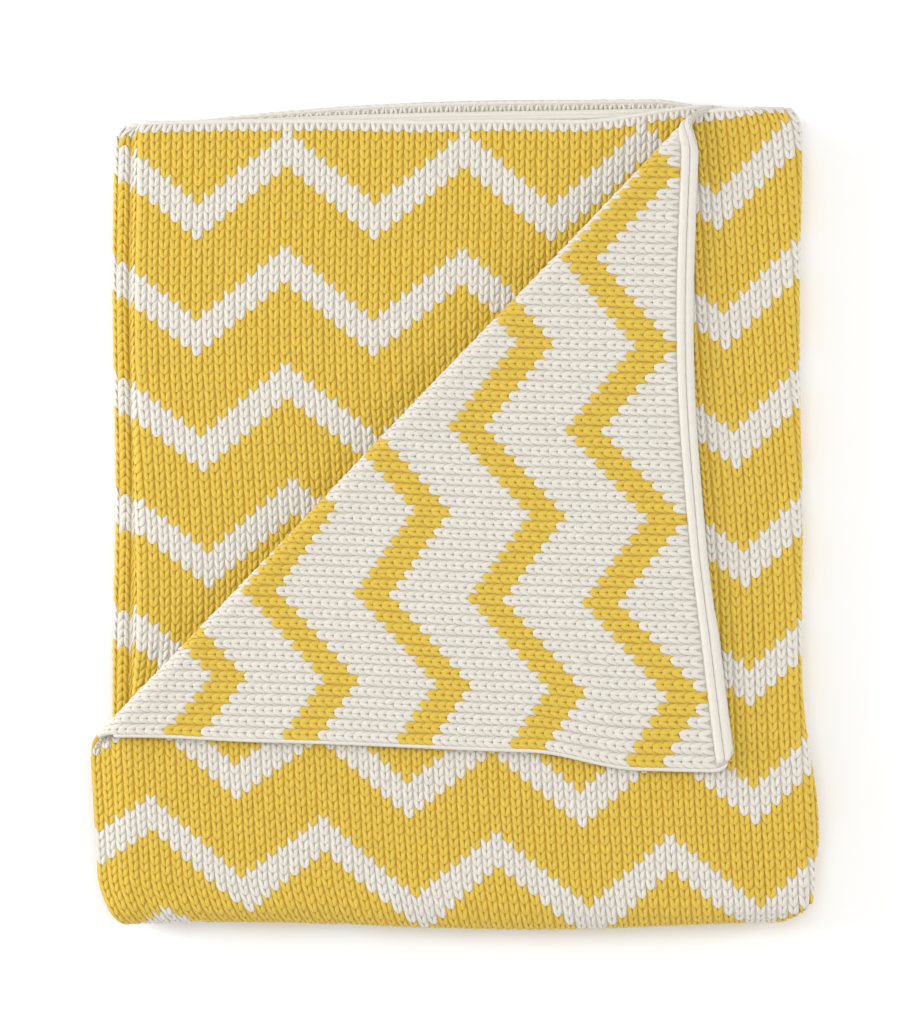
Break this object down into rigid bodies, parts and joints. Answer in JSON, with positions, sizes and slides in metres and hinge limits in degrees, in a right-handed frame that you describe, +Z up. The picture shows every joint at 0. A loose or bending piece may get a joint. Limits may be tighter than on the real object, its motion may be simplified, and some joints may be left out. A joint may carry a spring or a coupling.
{
  "type": "folded throw blanket",
  "caption": "Chevron-knit cotton throw folded into a rectangular stack, with one corner turned back to show its reverse.",
  "frame": {"origin": "on the table, under the middle of the folded stack's box", "axes": "+X to the right and +Y from the bottom fold to the bordered ends, seen from above; +Z up off the table"},
  "size_m": [0.332, 0.384, 0.0312],
  "materials": {
    "chevron_knit": "matt knitted cotton, yellow with narrow off-white chevrons",
    "reverse_knit": "matt knitted cotton, off-white with narrow yellow chevrons",
    "white_welt": "matt knitted cotton, off-white"
  },
  "bodies": {
    "lower_half": {"lower_right_panel": "chevron_knit", "lower_right_welt": "white_welt", "lower_left_panel": "chevron_knit", "lower_left_welt": "white_welt", "lower_middle_panel": "chevron_knit", "lower_middle_welt": "white_welt", "lower_left_fold": "chevron_knit", "lower_right_fold": "chevron_knit", "bottom_fold_inner": "chevron_knit", "bottom_fold_middle": "chevron_knit", "bottom_fold_outer": "chevron_knit"},
    "upper_half": {"upper_middle_panel": "chevron_knit", "upper_middle_welt": "white_welt", "upper_left_panel": "chevron_knit", "upper_left_welt": "white_welt", "upper_left_fold": "chevron_knit", "upper_right_fold": "chevron_knit", "upper_right_panel": "chevron_knit", "upper_right_welt": "white_welt", "corner_fold": "chevron_knit"},
    "corner": {"corner_panel": "reverse_knit", "corner_welt": "white_welt"}
  },
  "joints": [
    {"name": "half_open", "type": "hinge", "parent": "lower_half", "child": "upper_half", "pos_m": [0, -0.17865, 0.01335], "axis": [1, 0, 0], "range_deg": [0, 175], "deforming": ["bottom_fold_inner", "bottom_fold_middle", "bottom_fold_outer"]},
    {"name": "corner_turn", "type": "hinge", "parent": "upper_half", "child": "corner", "pos_m": [-0.16285, -0.1055, 0.02685], "axis": [-0.6901, -0.7237, 0], "range_deg": [0, 178], "deforming": ["corner_fold"]}
  ]
}
